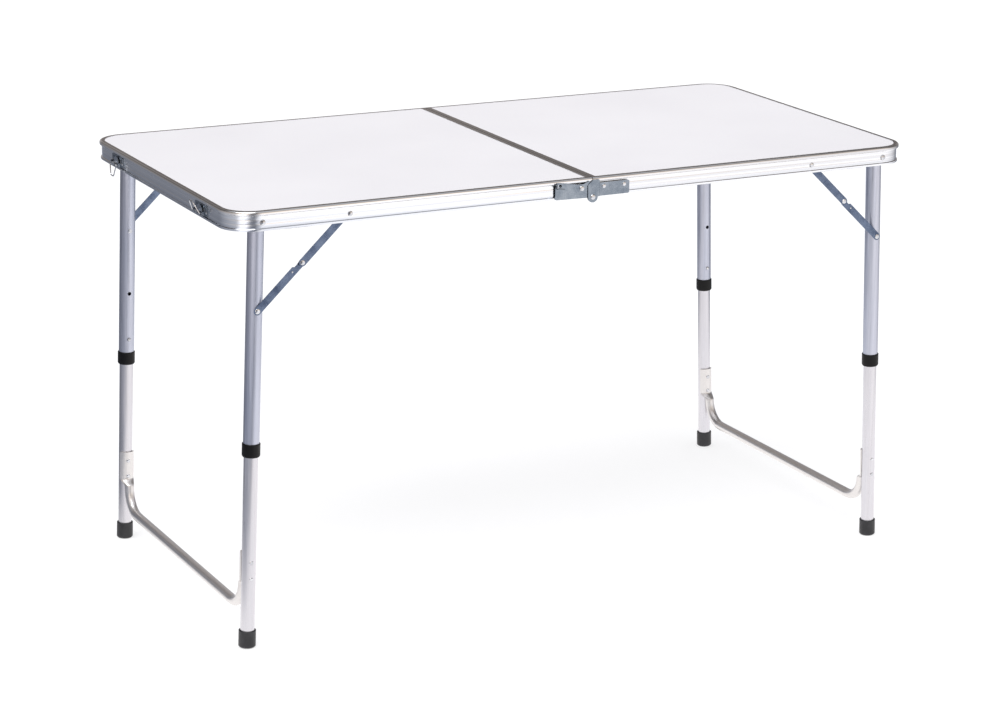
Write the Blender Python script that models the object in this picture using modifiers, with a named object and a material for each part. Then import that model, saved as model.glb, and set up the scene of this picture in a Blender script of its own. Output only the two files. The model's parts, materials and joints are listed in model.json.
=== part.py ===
"""Folding table with an aluminium edge frame, two hinged top halves and telescopic legs.

Metres, +Z up. The origin is on the floor under the middle of the table, +X runs along its
length and -Y is its front. Run with blender --background --python part.py.
"""

import math

import bmesh
import bpy
from mathutils import Matrix, Vector

# Driving dimensions of the whole table
LENGTH = 1.200
WIDTH = 0.600
HEIGHT = 0.686
GAP = 0.0003  # clearance between neighbours that don't run on each other
SEAM_GAP = 0.0005  # from the middle plane to the end of each half

# Edge frame: an extrusion bent round three sides of each half
FRAME_HEIGHT = 0.030
LIP = 0.0084  # width of the top lip
CORNER_RADIUS = 0.050
CORNER_STEPS = 9
BEAD_HEIGHT = 0.0064
BEAD_ROUND = 0.0030  # the lip's flat top ends here and the bead rounds over
FLUTE_DEPTH = 0.00025
WEB_RECESS = 0.0035  # the web stands back from the top bead
WEB_THICKNESS = 0.0013
FOOT_BEAD = 0.0020  # the bottom bead stands proud of the web
LEDGE_DEPTH = 0.0036  # how far the ledge reaches past the lip under the panel
LEDGE_TOP = 0.0048
LEDGE_THICKNESS = 0.0014
FLANGE = 0.0100  # inner edge of the bottom flange, from the bead
PANEL_THICKNESS = 0.0041
PANEL_DROP = 0.0004  # the panel's face lies this far under the lip

# Legs: two upper tubes, telescopic lower tubes and a crossbar at each end
SPLAY = math.radians(2.12)
PIVOT_X = 0.5475
PIVOT_Z = HEIGHT - 0.0175
LEG_Y = 0.2703
UPPER_RADIUS = 0.0125
LOWER_RADIUS = 0.0110
WALL = 0.0012
COLLAR_RADIUS = 0.0141
COLLAR_HEIGHT = 0.021
COLLAR_LIP = 0.0027
COLLAR_BOTTOM = 0.3642  # down the leg from its pivot
LOWER_TOP = 0.295
FOOT_RADIUS = 0.0135
FOOT_HEIGHT = 0.027
FOOT_BASE = 0.004
FOOT_EDGE = 0.0018  # the foot's lower edge is broken by this much
LEG_END = (PIVOT_Z - (FOOT_RADIUS - FOOT_EDGE) * math.sin(SPLAY)) / math.cos(SPLAY)
BUTTON_AT = 0.3207
SPARE_HOLE_AT = 0.2427
BUTTON_RADIUS = 0.0029
BUTTON_PROUD = 0.0022
TUBE_STEPS = 24

# Crossbar: a tube with its ends pressed round the legs and bent across
CROSSBAR_RADIUS = 0.008
CROSSBAR_BEND = 0.042
CROSSBAR_TOP = 0.5159
CROSSBAR_AXIS_Z = 0.055
SADDLE_THICKNESS = 0.0026
SADDLE_HALF_ANGLE = math.radians(62)
SADDLE_LENGTH = 0.0460
SECTION_POINTS = 16
CROSSBAR_RIVETS = (0.5309, 0.5574)

# Folding braces: an upper link on the rail, a lower link on the leg, a knee between them
BRACE_X = 0.1394  # from the leg's pivot to the upper link's pivot
BRACE_ON_LEG = 0.1370  # down the leg from its pivot
UPPER_LINK = 0.1010
LINK_WIDTH = 0.0120
LINK_THICKNESS = 0.0012
LINK_CHAMFER = 0.0002
LOWER_LINK_Y = 0.2837  # middle of the plate
UPPER_LINK_Y = 0.2867
KNEE_GAP = 0.0010  # from the knee rivet to the lower link, clear of its dimple

# Riveted pivots
PIVOT_SHANK = 0.0030
LINK_SHANK = 0.0025
RIVET_STEPS = 12

# Centre hinges and their locks
HINGE_DROP = 0.0005  # the hinge axis lies this far under the frame
HINGE_Z = HEIGHT - FRAME_HEIGHT - HINGE_DROP
LEAF_LENGTH = 0.0655
LEAF_HEIGHT = 0.021
LEAF_THICKNESS = 0.0015
LEAF_INNER = WIDTH / 2 - WEB_RECESS + FOOT_BEAD + GAP
LEAF_MIDDLE = LEAF_INNER + LEAF_THICKNESS / 2
EAR_MIDDLE = LEAF_MIDDLE + LEAF_THICKNESS + GAP
EAR_RADIUS = 0.0085
EAR_JOG = 0.0116
LEAF_RIVETS = (0.0200, 0.0562)
LEAF_RIVET_Z = HEIGHT - 0.0150
LOCK_THICKNESS = 0.0012
LOCK_TILT = math.radians(10)
LOCK_REACH = 0.0455

# Suitcase clasps on the ends
CLASP_Y = 0.180
CLASP_PLATE = (0.048, 0.0172)
CLASP_THICKNESS = 0.0012
CLASP_RIVET_OFFSET = 0.0207
CLASP_RIVET_DROP = 0.0026
CLASP_Z = HEIGHT - 0.0167
CLASP_EAR = 0.0160  # inner face of the base's ears, from its middle
LEVER_AXIS = (-0.0050, 0.0045)  # above the plate's middle, out from its back
BAIL_AXIS = (0.0012, 0.0040)  # above and out from the lever's axis
BAIL_WIRE = 0.0010
BAIL_HALF = 0.0140
BAIL_TIP = 0.0080  # half width at the far end
BAIL_LENGTH = 0.0195
HOOK_WIDTH = 0.0100
BAIL_REST = {"front": math.radians(25), "rear": math.radians(174)}

SIDES = {"left": -1, "right": 1}
ENDS = {"front": -1, "rear": 1}
PARTS = "folding_table"


# ---------------------------------------------------------------- helpers


def clear_scene():
    for item in list(bpy.data.objects):
        bpy.data.objects.remove(item, do_unlink=True)


def collection(name):
    group = bpy.data.collections.new(name)
    bpy.context.scene.collection.children.link(group)
    return group


def material(name, colour, metallic, roughness):
    made = bpy.data.materials.new(name)
    made.use_nodes = True
    shader = made.node_tree.nodes["Principled BSDF"]
    shader.inputs["Base Color"].default_value = (*colour, 1.0)
    shader.inputs["Metallic"].default_value = metallic
    shader.inputs["Roughness"].default_value = roughness
    made.diffuse_color = (*colour, 1.0)
    return made


def add(name, data, place=(0, 0, 0), turn=(0, 0, 0)):
    """A new object in the parts collection."""
    item = bpy.data.objects.new(name, data)
    bpy.data.collections[PARTS].objects.link(item)
    item.location = place
    item.rotation_euler = turn
    return item


def paint(item, look):
    item.data.materials.clear()
    item.data.materials.append(look)
    return item


def axis_empty(name, place, turn=(0, 0, 0), parent=None):
    """An empty on a joint's axis, in its parent's frame."""
    item = add(name, None, place, turn)
    item.empty_display_size = 0.05
    item.parent = parent
    return item


def attach(item, parent):
    """Parents an item and keeps it where it stands."""
    bpy.context.view_layer.update()
    item.parent = parent
    item.matrix_parent_inverse = parent.matrix_world.inverted()
    return item


def drop(item):
    bpy.data.objects.remove(item, do_unlink=True)


def evaluated_mesh(item):
    """The item's mesh with its modifiers, welded closed."""
    bpy.context.view_layer.update()
    graph = bpy.context.evaluated_depsgraph_get()
    mesh = bpy.data.meshes.new_from_object(item.evaluated_get(graph))
    work = bmesh.new()
    work.from_mesh(mesh)
    bmesh.ops.remove_doubles(work, verts=work.verts, dist=1e-6)
    work.to_mesh(mesh)
    work.free()
    return mesh


def as_mesh(item):
    """The item again, as a plain mesh object in the same place."""
    made = add(item.name + "_mesh", evaluated_mesh(item))
    bpy.context.view_layer.update()
    made.matrix_world = item.matrix_world
    drop(item)
    return made


def combine(base, tools, operation):
    """Applies the tools to base with Boolean modifiers and removes them."""
    for tool in tools:
        modifier = base.modifiers.new(operation.lower(), "BOOLEAN")
        modifier.operation = operation
        modifier.solver = "EXACT"
        modifier.object = tool
    mesh = evaluated_mesh(base)
    base.modifiers.clear()
    base.data = mesh
    for tool in tools:
        drop(tool)
    return base


def smooth(mesh, degrees=35):
    mesh.shade_smooth()
    mesh.set_sharp_from_angle(angle=math.radians(degrees))
    return mesh


def arc(centre, radius, start, end, steps):
    """Points on an arc, angles in degrees, both ends included."""
    points = []
    for i in range(steps + 1):
        angle = math.radians(start + (end - start) * i / steps)
        points.append((centre[0] + radius * math.cos(angle), centre[1] + radius * math.sin(angle)))
    return points


def circle(centre, radius, steps=RIVET_STEPS):
    """A closed clockwise loop, which makes a hole in an outline."""
    return arc(centre, radius, 360, 360 / steps, steps - 1)


def outline(name, loops, thickness, chamfer=0.0):
    """A flat plate from closed loops in local XY: the outer one counterclockwise, holes clockwise."""
    curve = bpy.data.curves.new(name, "CURVE")
    curve.dimensions = "2D"
    curve.fill_mode = "BOTH"
    curve.extrude = thickness / 2 - chamfer
    curve.bevel_depth = chamfer
    curve.bevel_resolution = 0
    curve.offset = -chamfer
    for loop in loops:
        spline = curve.splines.new("POLY")
        spline.points.add(len(loop) - 1)
        spline.use_cyclic_u = True
        for point, place in zip(spline.points, loop):
            point.co = (place[0], place[1], 0, 1)
    return add(name, curve)


def turned(name, profile, steps=RIVET_STEPS, closed=False):
    """A turned piece round local Z. The profile lists (radius, height) down its outer side."""
    mesh = bpy.data.meshes.new(name)
    edges = [(i, i + 1) for i in range(len(profile) - 1)]
    if closed:
        edges.append((len(profile) - 1, 0))
    mesh.from_pydata([(r, 0, z) for r, z in profile], edges, [])
    item = add(name, mesh)
    screw = item.modifiers.new("turn", "SCREW")
    screw.axis = "Z"
    screw.steps = steps
    screw.render_steps = steps
    screw.use_merge_vertices = True
    screw.merge_threshold = 1e-5
    screw.use_smooth_shade = True
    return item


def tube(name, outer, inner, top, bottom, steps=TUBE_STEPS):
    """A hollow tube round local Z, from top down to bottom."""
    return turned(name, [(outer, top), (outer, bottom), (inner, bottom), (inner, top)], steps, closed=True)


def rod(name, radius, top, bottom, steps=RIVET_STEPS):
    return turned(name, [(0, top), (radius, top), (radius, bottom), (0, bottom)], steps)


def box(name, low, high):
    """A box between two corners, from a cube primitive."""
    work = bmesh.new()
    bmesh.ops.create_cube(work, size=1.0)
    size = Vector(high) - Vector(low)
    middle = (Vector(high) + Vector(low)) / 2
    bmesh.ops.scale(work, vec=size, verts=work.verts)
    bmesh.ops.translate(work, vec=middle, verts=work.verts)
    mesh = bpy.data.meshes.new(name)
    work.to_mesh(mesh)
    work.free()
    return add(name, mesh)


def dome(radius, base, height, steps=3):
    """Profile points of a rivet head, from its crown down to its rim."""
    points = []
    for i in range(steps + 1):
        angle = math.pi / 2 * i / steps
        points.append((radius * math.sin(angle), base + height * math.cos(angle)))
    points[0] = (0, base + height)
    return points


def handed(mesh, along, out):
    """The mesh for the other end or side: mirrored in X when along is -1, in Z when out is -1."""
    made = mesh.copy()
    made.transform(Matrix.Diagonal((along, 1, out, 1)))
    if along * out < 0:
        made.flip_normals()
    return made


def shaped(item):
    """The item's mesh, placed, and the item removed."""
    item = as_mesh(item)
    item.data.transform(item.matrix_world)
    mesh = item.data
    drop(item)
    return mesh


def finish(item):
    mesh = item.data
    drop(item)
    return smooth(mesh)


def outward(end):
    """The turn that points local +Z out of the front (-1) or the rear (1)."""
    return (-end * math.pi / 2, 0, 0)


def across(name, radius, x, z, end, inner, outer, steps=RIVET_STEPS):
    """A cutter along Y, from inner to outer as distances from the middle of the table."""
    item = rod(name, radius, outer, inner, steps)
    item.location = (x, 0, z)
    item.rotation_euler = outward(end)
    return item


# ---------------------------------------------------------------- top halves


def frame_profile():
    """Section of the edge frame: x is outward from the outer bead, y is down from the top."""
    web = -WEB_RECESS
    inner = web - WEB_THICKNESS
    ledge = -LIP - LEDGE_DEPTH
    foot = web + FOOT_BEAD
    points = [(-LIP, 0)] + arc((-BEAD_ROUND, -BEAD_ROUND), BEAD_ROUND, 90, 0, 3)
    points += [(0, -BEAD_HEIGHT + 0.0009)]
    points += [(-0.0008, -BEAD_HEIGHT), (web, -BEAD_HEIGHT - 0.0004)]
    for depth in (0.0130, 0.0196):
        points += [(web, -depth + 0.0009), (web - FLUTE_DEPTH, -depth), (web, -depth - 0.0009)]
    points += [(web, -0.0258), (foot, -0.0268), (foot, 0.0006 - FRAME_HEIGHT), (foot - 0.0006, -FRAME_HEIGHT)]
    points += [(-FLANGE, -FRAME_HEIGHT), (-FLANGE, WEB_THICKNESS - FRAME_HEIGHT)]
    points += [(inner, WEB_THICKNESS - FRAME_HEIGHT), (inner, -LEDGE_TOP - LEDGE_THICKNESS)]
    points += [(ledge, -LEDGE_TOP - LEDGE_THICKNESS), (ledge, -LEDGE_TOP), (-LIP, -LEDGE_TOP)]
    return points


def sweep(name, profile, path):
    """A closed profile along an open path in the plane. Its x is measured out from the path."""
    work = bmesh.new()
    rings = []
    last = len(path) - 1
    for i, place in enumerate(path):
        before = Vector(path[max(i - 1, 0)])
        after = Vector(path[min(i + 1, last)])
        here = Vector(place)
        turn_in = (here - before).normalized() if i else (after - here).normalized()
        turn_out = (after - here).normalized() if i < last else turn_in
        mitre = (turn_in + turn_out).normalized()
        out = Vector((-mitre.y, mitre.x)) / mitre.dot(turn_in)
        ring = [work.verts.new((here.x + out.x * x, here.y + out.y * x, z)) for x, z in profile]
        rings.append(ring)
    count = len(profile)
    for one, two in zip(rings, rings[1:]):
        for i in range(count):
            j = (i + 1) % count
            work.faces.new((one[i], one[j], two[j], two[i]))
    work.faces.new(rings[0])
    work.faces.new(rings[-1])
    bmesh.ops.recalc_face_normals(work, faces=work.faces)
    mesh = bpy.data.meshes.new(name)
    work.to_mesh(mesh)
    work.free()
    return mesh


def half_path(inset, radius):
    """The left half's edge, from the seam at the front round to the seam at the rear."""
    x = LENGTH / 2 - inset
    y = WIDTH / 2 - inset
    points = [(-SEAM_GAP, -y)]
    points += arc((radius - x, radius - y), radius, 270, 180, CORNER_STEPS)
    points += arc((radius - x, y - radius), radius, 180, 90, CORNER_STEPS)
    points += [(-SEAM_GAP, y)]
    return points


def left_half(mesh, name, side, look):
    """One half's piece: the right half is the left one turned about Z."""
    turn = 0 if side < 0 else math.pi
    return paint(add(name, mesh, (0, 0, 0), (0, 0, turn)), look)


def edge_frame_mesh():
    """The bent extrusion with its rivet holes, for the left half."""
    swept = add("edge_path", sweep("edge_path", frame_profile(), half_path(0, CORNER_RADIUS)), (0, 0, HEIGHT))
    cutters = []
    inner = WIDTH / 2 - 0.010
    outer = WIDTH / 2 + 0.005
    for end in ENDS.values():
        holes = [(-PIVOT_X, PIVOT_Z, PIVOT_SHANK), (BRACE_X - PIVOT_X, PIVOT_Z, LINK_SHANK)]
        holes += [(-x, LEAF_RIVET_Z, 0.0020) for x in LEAF_RIVETS]
        for x, z, radius in holes:
            cutters.append(across("hole", radius + GAP, x, z, end, inner, outer))
        for offset in (-CLASP_RIVET_OFFSET, CLASP_RIVET_OFFSET):
            hole = rod("hole", 0.0018, 0.010, -0.010)
            hole.location = (-LENGTH / 2 + WEB_RECESS, end * CLASP_Y + offset, CLASP_Z - CLASP_RIVET_DROP)
            hole.rotation_euler = (0, math.pi / 2, 0)
            cutters.append(hole)
    made = combine(swept, cutters, "DIFFERENCE")
    mesh = made.data
    drop(made)
    return smooth(mesh)


def seam_rail_mesh():
    """The straight rail along the seam, for the left half, its ends cut round the edge frame's ledge."""
    x = -SEAM_GAP
    loop = [(x - LIP, 0), (x - LIP, -LEDGE_TOP), (x - LIP - LEDGE_DEPTH, -LEDGE_TOP)]
    loop += [(x - LIP - LEDGE_DEPTH, -LEDGE_TOP - LEDGE_THICKNESS)]
    loop += [(x - WEB_THICKNESS, -LEDGE_TOP - LEDGE_THICKNESS)]
    loop += [(x - WEB_THICKNESS, -FRAME_HEIGHT + WEB_THICKNESS)]
    loop += [(x - LIP, -FRAME_HEIGHT + WEB_THICKNESS), (x - LIP, -FRAME_HEIGHT), (x, -FRAME_HEIGHT)]
    loop += [(x, -0.0006), (x - 0.0006, 0)]
    reach = WIDTH / 2 - LIP - GAP
    item = outline("rail", [loop], 2 * reach)
    item.rotation_euler = (math.pi / 2, 0, 0)
    item.location = (0, 0, HEIGHT)
    item = as_mesh(item)
    short = WIDTH / 2 - LIP - LEDGE_DEPTH - GAP
    top = HEIGHT - LEDGE_TOP + GAP
    cutters = []
    for end in ENDS.values():
        low, high = sorted((end * short, end * WIDTH))
        cutters.append(box("notch", (-0.03, low, HEIGHT - 0.05), (0.01, high, top)))
    combine(item, cutters, "DIFFERENCE")
    item.data.transform(item.matrix_world)
    mesh = item.data
    drop(item)
    return mesh


def panel_mesh():
    """The board of the left half."""
    inset = LIP + GAP
    places = half_path(inset, CORNER_RADIUS - inset)
    seam = -SEAM_GAP - LIP - GAP
    places[0] = (seam, places[0][1])
    places[-1] = (seam, places[-1][1])
    places.reverse()
    item = outline("board", [places], PANEL_THICKNESS)
    item.location = (0, 0, HEIGHT - PANEL_DROP - PANEL_THICKNESS / 2)
    item = as_mesh(item)
    item.data.transform(item.matrix_world)
    mesh = item.data
    drop(item)
    return mesh


def build_halves(looks):
    frame = edge_frame_mesh()
    frame.transform(Matrix.Translation((0, 0, HEIGHT)))
    rail = seam_rail_mesh()
    board = panel_mesh()
    halves = {}
    for name, side in SIDES.items():
        place = (0, 0, HINGE_Z)
        halves[name] = axis_empty(f"{name}_top", place)
        pieces = ((frame, "edge_frame", "frame"), (rail, "seam_rail", "frame"), (board, "panel", "panel"))
        for mesh, piece, look in pieces:
            attach(left_half(mesh, f"{name}_{piece}", side, looks[look]), halves[name])
    return halves


# ---------------------------------------------------------------- rivets on the rails


def leg_pivot_mesh():
    """Shouldered rivet through the web and the leg, head at +Z, heights from the table's middle."""
    web = WIDTH / 2 - WEB_RECESS
    leg = LEG_Y + UPPER_RADIUS + GAP
    tail = LEG_Y - UPPER_RADIUS - GAP
    profile = dome(0.0046, web + GAP, 0.0022)
    profile += [(PIVOT_SHANK, web + GAP), (PIVOT_SHANK, web - WEB_THICKNESS - GAP)]
    profile += [(0.0050, web - WEB_THICKNESS - GAP), (0.0050, leg), (PIVOT_SHANK, leg), (PIVOT_SHANK, tail)]
    profile += [(0.0045, tail), (0.0040, tail - 0.0012), (0, tail - 0.0016)]
    item = turned("rivet", profile)
    mesh = evaluated_mesh(item)
    drop(item)
    return smooth(mesh)


def brace_rivet_mesh():
    """Shouldered rivet that holds the upper link, set flush in it."""
    web = WIDTH / 2 - WEB_RECESS
    link = UPPER_LINK_Y + LINK_THICKNESS / 2 + GAP
    flush = UPPER_LINK_Y - LINK_THICKNESS / 2 + 0.0001
    profile = dome(0.0042, web + GAP, 0.0020)
    profile += [(LINK_SHANK, web + GAP), (LINK_SHANK, web - WEB_THICKNESS - GAP)]
    profile += [(0.0044, web - WEB_THICKNESS - GAP), (0.0044, link), (LINK_SHANK, link)]
    profile += [(LINK_SHANK, flush), (0, flush)]
    item = turned("rivet", profile)
    mesh = evaluated_mesh(item)
    drop(item)
    return smooth(mesh)


def build_rail_rivets(looks, halves):
    leg_mesh = leg_pivot_mesh()
    brace_mesh = brace_rivet_mesh()
    for side_name, side in SIDES.items():
        for end_name, end in ENDS.items():
            name = f"{side_name}_{end_name}"
            at = (side * PIVOT_X, 0, PIVOT_Z)
            leg = paint(add(f"{name}_leg_pivot", leg_mesh, at, outward(end)), looks["steel"])
            at = (side * (PIVOT_X - BRACE_X), 0, PIVOT_Z)
            brace = paint(add(f"{name}_brace_rivet", brace_mesh, at, outward(end)), looks["steel"])
            attach(leg, halves[side_name])
            attach(brace, halves[side_name])


# ---------------------------------------------------------------- legs
# A leg is built round local Z with its pivot at the origin and its outer side towards +Y.


def along_y(name, radius, at, low, high, steps=RIVET_STEPS):
    """A rod along local Y at a distance down the leg."""
    item = rod(name, radius, high, low, steps)
    item.location = (0, 0, -at)
    item.rotation_euler = (-math.pi / 2, 0, 0)
    return item


def upper_tube_mesh():
    bottom = -(COLLAR_BOTTOM - COLLAR_LIP - GAP)
    item = as_mesh(tube("upper", UPPER_RADIUS, UPPER_RADIUS - WALL, UPPER_RADIUS + 0.003, bottom))
    envelope = [(-0.02, bottom - 0.01), (0.02, bottom - 0.01), (0.02, -0.02)]
    envelope += [(UPPER_RADIUS + 0.0001, -0.02)] + arc((0, 0), UPPER_RADIUS, 0, 180, 10)
    envelope += [(-UPPER_RADIUS - 0.0001, -0.02), (-0.02, -0.02)]
    round_end = outline("envelope", [envelope], 0.04)
    round_end.rotation_euler = (math.pi / 2, 0, 0)
    round_end = as_mesh(round_end)
    combine(item, [round_end], "INTERSECT")
    reach = 2 * UPPER_RADIUS
    cutters = [
        along_y("pivot_hole", PIVOT_SHANK + GAP, 0, -reach, reach),
        along_y("button_hole", BUTTON_RADIUS + GAP, BUTTON_AT, -reach, 0),
        along_y("spare_hole", BUTTON_RADIUS + GAP, SPARE_HOLE_AT, -reach, 0),
    ]
    combine(item, cutters, "DIFFERENCE")
    head = LOWER_LINK_Y + LINK_THICKNESS / 2 + 0.0002 - LEG_Y
    profile = dome(0.0042, head, 0.0012)
    profile += [(LINK_SHANK, head), (LINK_SHANK, -UPPER_RADIUS + 0.0004)]
    profile += [(0.0036, -UPPER_RADIUS + 0.0002), (0.0034, -UPPER_RADIUS - 0.0008)]
    profile += [(0, -UPPER_RADIUS - 0.0014)]
    rivet = turned("rivet", profile)
    rivet.location = (0, 0, -BRACE_ON_LEG)
    rivet.rotation_euler = (-math.pi / 2, 0, 0)
    combine(item, [rivet], "UNION")
    mesh = item.data
    drop(item)
    return smooth(mesh)


def lower_tube_mesh():
    bottom = -(LEG_END - FOOT_BASE - GAP)
    item = as_mesh(tube("lower", LOWER_RADIUS, LOWER_RADIUS - WALL, -LOWER_TOP, bottom))
    hole = along_y("button_hole", BUTTON_RADIUS + GAP, BUTTON_AT, -2 * LOWER_RADIUS, 0)
    combine(item, [hole], "DIFFERENCE")
    inner_head = LOWER_RADIUS + GAP + SADDLE_THICKNESS + GAP
    rivets = []
    for at in CROSSBAR_RIVETS:
        profile = dome(0.0034, LOWER_RADIUS - 0.0003, 0.0014, 2)
        profile += [(0.0020, LOWER_RADIUS - 0.0003), (0.0020, -inner_head)]
        profile += [(r, -z) for r, z in reversed(dome(0.0034, inner_head, 0.0012))]
        rivet = turned("rivet", profile, 12)
        rivet.location = (0, 0, -at)
        rivet.rotation_euler = (-math.pi / 2, 0, 0)
        rivets.append(rivet)
    combine(item, rivets, "UNION")
    mesh = item.data
    drop(item)
    return smooth(mesh)


def collar_mesh():
    top = -(COLLAR_BOTTOM - COLLAR_HEIGHT)
    bottom = -COLLAR_BOTTOM
    grip = UPPER_RADIUS + GAP
    guide = LOWER_RADIUS + GAP
    step = bottom + COLLAR_LIP
    profile = [(COLLAR_RADIUS - 0.0008, top), (COLLAR_RADIUS, top - 0.0008), (COLLAR_RADIUS, bottom + 0.0020)]
    profile += [(COLLAR_RADIUS - 0.0012, bottom), (guide, bottom)]
    profile += [(guide, step), (grip, step), (grip, top)]
    item = turned("collar", profile, TUBE_STEPS, closed=True)
    mesh = evaluated_mesh(item)
    drop(item)
    return smooth(mesh)


def foot_mesh():
    top = -(LEG_END - FOOT_HEIGHT)
    bottom = -LEG_END
    bore = LOWER_RADIUS + GAP
    profile = [(0, bottom + FOOT_BASE), (bore, bottom + FOOT_BASE), (bore, top), (FOOT_RADIUS - 0.0006, top)]
    profile += [(FOOT_RADIUS - 0.0001, top - 0.0006), (FOOT_RADIUS, bottom + 0.0020)]
    profile += [(FOOT_RADIUS - FOOT_EDGE, bottom), (0, bottom)]
    item = turned("foot", profile, TUBE_STEPS)
    mesh = evaluated_mesh(item)
    drop(item)
    return smooth(mesh)


def button_mesh():
    """Snap button on the inner side (-Y), turned round its own axis with the crown at +Z."""
    base = LOWER_RADIUS + 0.00035
    crown = UPPER_RADIUS + BUTTON_PROUD
    profile = dome(BUTTON_RADIUS, crown - 0.0018, 0.0018) + [(BUTTON_RADIUS, base), (0, base)]
    item = turned("button", profile)
    mesh = evaluated_mesh(item)
    drop(item)
    return smooth(mesh)


def saddle_point(i):
    """Point i of the pressed end's crescent section: x across, n towards the table's middle."""
    half = SECTION_POINTS // 2
    inner = LOWER_RADIUS + GAP
    outer = inner + SADDLE_THICKNESS
    middle = LOWER_RADIUS + GAP + SADDLE_THICKNESS / 2
    share = (i % half) / (half - 1)
    if i < half:
        angle = SADDLE_HALF_ANGLE * (1 - 2 * share)
        return (outer * math.sin(angle), outer * math.cos(angle) - middle)
    angle = SADDLE_HALF_ANGLE * (2 * share - 1)
    return (inner * math.sin(angle), inner * math.cos(angle) - middle)


def round_point(i):
    """Point i of the round section, matched to the crescent's points."""
    half = SECTION_POINTS // 2
    step = math.pi / half
    angle = step * (i + 0.5)
    return (CROSSBAR_RADIUS * math.cos(angle), CROSSBAR_RADIUS * math.sin(angle))


def crossbar_stations():
    """(y, distance down the leg, tangent angle, roundness) from the pressed end to the middle."""
    middle = LOWER_RADIUS + GAP + SADDLE_THICKNESS / 2
    clear = LOWER_RADIUS + GAP + CROSSBAR_RADIUS + 0.0006
    low = (PIVOT_Z - CROSSBAR_AXIS_Z) / math.cos(SPLAY)
    bend_top = low - CROSSBAR_BEND
    blend_top = CROSSBAR_TOP + SADDLE_LENGTH
    stations = [(LEG_Y - middle, CROSSBAR_TOP, 0.0, 0.0), (LEG_Y - middle, blend_top, 0.0, 0.0)]
    blend_steps = 4
    bend_steps = 7
    for i in range(1, blend_steps + 1):
        share = i / blend_steps
        ease = share * share * (3 - 2 * share)
        y = LEG_Y - middle - (clear - middle) * ease
        stations.append((y, blend_top + (bend_top - blend_top) * share, 0.0, ease))
    for i in range(1, bend_steps + 1):
        angle = math.pi / 2 * i / bend_steps
        y = LEG_Y - clear - CROSSBAR_BEND * (1 - math.cos(angle))
        stations.append((y, bend_top + CROSSBAR_BEND * math.sin(angle), angle, 1.0))
    stations.append((0.0, low, math.pi / 2, 1.0))
    return stations


def crossbar_mesh():
    """Half of the crossbar lofted from its pressed end to the middle, then mirrored."""
    work = bmesh.new()
    rings = []
    for y, down, angle, roundness in crossbar_stations():
        ring = []
        for i in range(SECTION_POINTS):
            flat = saddle_point(i)
            full = round_point(i)
            x = flat[0] + (full[0] - flat[0]) * roundness
            n = flat[1] + (full[1] - flat[1]) * roundness
            ring.append(work.verts.new((x, y - n * math.cos(angle), -down + n * math.sin(angle))))
        rings.append(ring)
    for above, below in zip(rings, rings[1:]):
        for i in range(SECTION_POINTS):
            j = (i + 1) % SECTION_POINTS
            work.faces.new((above[i], below[i], below[j], above[j]))
    work.faces.new(rings[0])
    bmesh.ops.recalc_face_normals(work, faces=work.faces)
    mesh = bpy.data.meshes.new("crossbar")
    work.to_mesh(mesh)
    work.free()
    item = add("crossbar", mesh)
    mirror = item.modifiers.new("mirror", "MIRROR")
    mirror.use_axis = (False, True, False)
    mirror.merge_threshold = 1e-5
    item = as_mesh(item)
    cutters = []
    for end in ENDS.values():
        for at in CROSSBAR_RIVETS:
            low, high = sorted((end * (LEG_Y - 0.002), end * (LEG_Y - 0.030)))
            cutters.append(along_y("rivet_hole", 0.0020 + GAP, at, low, high))
    combine(item, cutters, "DIFFERENCE")
    mesh = item.data
    drop(item)
    return smooth(mesh)


def build_legs(looks, halves):
    meshes = {
        "upper_tube": (upper_tube_mesh(), "tube"),
        "collar": (collar_mesh(), "plastic"),
        "lower_tube": (lower_tube_mesh(), "tube"),
        "foot": (foot_mesh(), "plastic"),
    }
    button = button_mesh()
    bar = crossbar_mesh()
    legs = {}
    for side_name, side in SIDES.items():
        pivot = axis_empty(f"{side_name}_legs", (side * PIVOT_X, 0, PIVOT_Z), (0, -side * SPLAY, 0))
        attach(pivot, halves[side_name])
        slider = axis_empty(f"{side_name}_lower_legs", (0, 0, 0), parent=pivot)
        legs[side_name] = pivot
        for end_name, end in ENDS.items():
            turn = (0, 0, 0 if end > 0 else math.pi)
            name = f"{side_name}_{end_name}"
            for piece, (mesh, look) in meshes.items():
                item = paint(add(f"{name}_{piece}", mesh, (0, end * LEG_Y, 0), turn), looks[look])
                item.parent = slider if piece in ("lower_tube", "foot") else pivot
            snap = add(f"{name}_snap_button", button, (0, end * LEG_Y, -BUTTON_AT), outward(-end))
            paint(snap, looks["steel"])
            snap.parent = pivot
        paint(add(f"{side_name}_crossbar", bar), looks["tube"]).parent = slider
    return legs


# ---------------------------------------------------------------- braces


def link_outline(length, narrow):
    """A bar from its pivot at the origin to the knee at +X. A narrow one is stepped at the knee."""
    half = LINK_WIDTH / 2
    loop = arc((0, 0), half, 90, 270, 8)
    if narrow:
        tip = half - 0.0012
        loop += [(length - 0.0020, -half)] + arc((length, 0), tip, 275, 435, 7)
        loop += [(length - 0.0075, tip - 0.0016), (length - 0.0125, tip - 0.0016), (length - 0.0150, half)]
    else:
        loop += arc((length, 0), half, 270, 450, 8)
    return loop


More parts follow.
